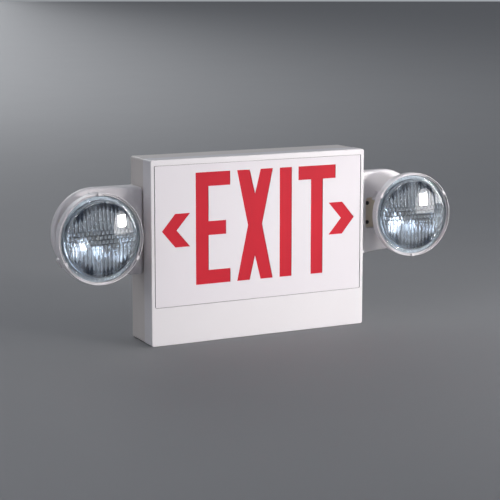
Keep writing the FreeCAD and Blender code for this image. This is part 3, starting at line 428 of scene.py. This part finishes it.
def build_reflector(name):
    r0, y0, r1, y1 = 8.8, -22.0, 50.6, -42.6
    k = (r1 ** 2 - r0 ** 2) / (y0 - y1)
    prof = []
    n = 48
    for i in range(n + 1):
        r = r0 + (r1 - r0) * i / n
        prof.append((r, y0 - (r * r - r0 * r0) / k))
    prof += [(51.2, -42.66), (56.6, -42.66), (56.85, -42.3), (56.85, -41.75), (56.4, -41.5), (51.6, -41.5)]
    for i in range(n, -1, -1):
        r = r0 + (r1 - r0) * i / n
        prof.append((r + 0.55, y0 - (r * r - r0 * r0) / k + 0.75))
    vs, fs = lathe([(r * MM, y * MM) for r, y in prof], 160)
    o = mesh_object(name, vs, fs, MAT["reflector_mirror"])
    o.data.materials.append(MAT["flange_metal"])
    for p in o.data.polygons:
        if math.hypot(p.center.x, p.center.z) > 0.0508:
            p.material_index = 1
    bm = bmesh.new()
    bm.from_mesh(o.data)
    bmesh.ops.recalc_face_normals(bm, faces=bm.faces)
    bm.to_mesh(o.data)
    bm.free()
    return o


def build_filament(name):
    cu = bpy.data.curves.new(name, "CURVE")
    cu.dimensions = "3D"
    cu.bevel_depth = 0.00016
    cu.bevel_resolution = 2
    sp = cu.splines.new("POLY")
    pts = []
    n = 180
    for i in range(n + 1):
        t = i / n
        a = t * 2 * math.pi * 14
        pts.append((0.0007 * math.cos(a), -0.0320 + 0.0007 * math.sin(a), -0.003 + 0.006 * t))
    pts = [(0.0, -0.0245, -0.0012), (0.0, -0.0300, -0.003)] + pts + [(0.0, -0.0300, 0.003), (0.0, -0.0245, 0.0012)]
    sp.points.add(len(pts) - 1)
    for p, c in zip(sp.points, pts):
        p.co = (*c, 1)
    cu.materials.append(MAT["filament"])
    o = bpy.data.objects.new(name, cu)
    scene.collection.objects.link(o)
    return o


for name, side in SIDES:
    m = head_matrix(name)
    body = name + "_head"
    for builder, piece, node, slot in ((build_lens, "lens_fluted", "lens", "lens_glass"),
                                       (build_reflector, "reflector_bowl", "reflector", "reflector_mirror"),
                                       (build_filament, "filament", None, "screw_steel")):
        o = builder(name + "_" + piece)
        if o.type == "MESH":
            at = o.data.attributes.new("head_mm", "FLOAT_VECTOR", "POINT")
            for i, v in enumerate(o.data.vertices):
                at.data[i].vector = v.co * 1000.0
        o.data.transform(m)
        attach(o, body)
        if node:
            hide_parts(name + "_" + node)

# ---------------------------------------------------------------- studio
low, high = cad_bounds
floor_z = float(low[2]) - 0.0002


def build_floor():
    vs, fs = [], []
    rings = [0.0, 0.6, 1.2, 2.5, 5.0, 10.0, 25.0, 90.0]
    seg = 64
    vs.append((0, 0, 0))
    for r in rings[1:]:
        for i in range(seg):
            a = 2 * math.pi * i / seg
            vs.append((r * math.cos(a), r * math.sin(a), 0))
    for i in range(seg):
        fs.append((0, 1 + i, 1 + (i + 1) % seg))
    for q in range(len(rings) - 2):
        for i in range(seg):
            a, b = 1 + q * seg + i, 1 + q * seg + (i + 1) % seg
            fs.append((a, a + seg, b + seg, b))
    m = surface("studio_floor", (0.25, 0.253, 0.262), rough=0.85, spread=0.01, big=1.2, fine=500.0, bump=0.0)
    o = mesh_object("studio_floor", vs, fs, m, smooth=False)
    o.location = (0, 0, floor_z)


build_floor()


def area(name, loc, target, size, power, color=(1, 1, 1), size_y=None, spread=180.0):
    d = bpy.data.lights.new(name, "AREA")
    d.shape = "RECTANGLE"
    d.size = size
    d.size_y = size_y or size
    d.spread = math.radians(spread)
    d.energy = power
    d.color = color
    o = bpy.data.objects.new(name, d)
    scene.collection.objects.link(o)
    o.location = loc
    o.visible_camera = False
    v = Vector(target) - Vector(loc)
    o.rotation_euler = v.to_track_quat("-Z", "Y").to_euler()
    return o


def sky(az, el, dist):
    """Point in a direction from the object: az from straight ahead of the sign towards its right, el above level, in degrees."""
    a, e = math.radians(az), math.radians(el)
    return (dist * math.sin(a) * math.cos(e), -dist * math.cos(a) * math.cos(e), dist * math.sin(e))


area("key", sky(34.3, 4.0, 3.0), (0.05, 0, 0.01), 0.25, 3.35, (1.0, 0.965, 0.955), 0.30, 45.0)
halo = area("key_halo", sky(35, 1.0, 2.9), (0.05, 0, 0.01), 0.62, 0.50, (1.0, 0.965, 0.955), 0.85, 45.0)
halo.data.shape = "ELLIPSE"
halo.visible_diffuse = False
area("side", sky(58, 10, 1.6), (0.05, 0, 0.02), 0.78, 1.8, (1.0, 0.98, 0.97), 0.46, 70.0)
area("fill", sky(-34, 38, 2.6), (0.0, 0, 0.0), 0.9, 2.6, (0.88, 0.90, 1.0), 0.6)
# long light over the far left of the floor, for the glow in the upper left of the background
wash = area("wash", (8.01, 31.44, 2.3), (8.01, 31.44, 0.0), 2.0, 1260.0, (0.98, 0.99, 1.0), 60.0)
wash.rotation_euler = (0.0, 0.0, -math.radians(16.9))
# tall narrow strip lights, for the upright streaks in the lamps' glass
for k, (az, el, dist, wide, tall, power) in enumerate(((-72, 12, 2.0, 0.16, 1.1, 5.4), (-46, 10, 2.2, 0.09, 1.0, 5.2), (-14, 30, 2.6, 0.08, 0.7, 3.6),
                                                       (14, 26, 2.6, 0.08, 0.8, 4.0), (82, 8, 2.0, 0.10, 1.1, 6.0), (104, 8, 2.0, 0.14, 1.1, 6.5))):
    strip = area("strip%d" % k, sky(az, el, dist), (0.0, 0, 0.02), wide, power, (0.93, 0.95, 1.0), tall)
    strip.visible_diffuse = k == 0
# broad cards that only shiny surfaces see, for the pale sheen in the lamps' glass
for k, (az, el, dist, wide, tall, power) in enumerate(((22, 30, 2.8, 1.5, 1.0, 13.0), (70, 14, 2.4, 0.7, 1.1, 11.0), (-50, 34, 2.6, 0.8, 0.8, 4.5))):
    card = area("card%d" % k, sky(az, el, dist), (0.0, 0, 0.02), wide, power, (0.93, 0.96, 1.0), tall)
    card.visible_diffuse = False

w = bpy.data.worlds.new("studio")
scene.world = w
w.use_nodes = True
wn = w.node_tree
wn.nodes.clear()
wo = wn.nodes.new("ShaderNodeOutputWorld")
bg = wn.nodes.new("ShaderNodeBackground")
tc = wn.nodes.new("ShaderNodeTexCoord")
sx = wn.nodes.new("ShaderNodeSeparateXYZ")
wn.links.new(tc.outputs["Generated"], sx.inputs["Vector"])


def w_ramp(src, lo, hi, a, b):
    m = wn.nodes.new("ShaderNodeMapRange")
    m.interpolation_type = "SMOOTHSTEP"
    m.inputs["From Min"].default_value = lo
    m.inputs["From Max"].default_value = hi
    m.inputs["To Min"].default_value = a
    m.inputs["To Max"].default_value = b
    wn.links.new(src, m.inputs["Value"])
    return m.outputs["Result"]


def w_math(op, a, b):
    m = wn.nodes.new("ShaderNodeMath")
    m.operation = op
    wn.links.new(a, m.inputs[0])
    wn.links.new(b, m.inputs[1])
    return m.outputs["Value"]


right_side = w_ramp(sx.outputs["X"], -0.7, 0.9, 0.16, 0.46)
upper = w_ramp(sx.outputs["Z"], 0.1, 0.95, 0.0, 0.12)
behind = w_ramp(sx.outputs["Y"], -0.9, 0.3, 0.35, 1.0)
total = w_math("MULTIPLY", w_math("ADD", right_side, upper), behind)
wn.links.new(total, bg.inputs["Strength"])
bg.inputs["Color"].default_value = (0.84, 0.88, 0.96, 1)
wn.links.new(bg.outputs["Background"], wo.inputs["Surface"])

scene.view_settings.view_transform = "Standard"
scene.view_settings.look = "None"
scene.view_settings.exposure = 0.0
scene.view_settings.gamma = 1.0

# ---------------------------------------------------------------- camera
cd = bpy.data.cameras.new("camera")
cd.sensor_fit = "HORIZONTAL"
cd.sensor_width = 36.0
cd.lens = 106.372
cd.shift_x = 0.0
cd.shift_y = -0.1
cd.clip_start = 0.05
cd.clip_end = 60.0
cd.dof.use_dof = False
cam = bpy.data.objects.new("camera", cd)
scene.collection.objects.link(cam)
cam.location = (-0.90867, -1.85053, 0.34741)
cam.rotation_euler = (math.radians(90) - 0.14142, 0.0, -0.46457)
scene.camera = cam
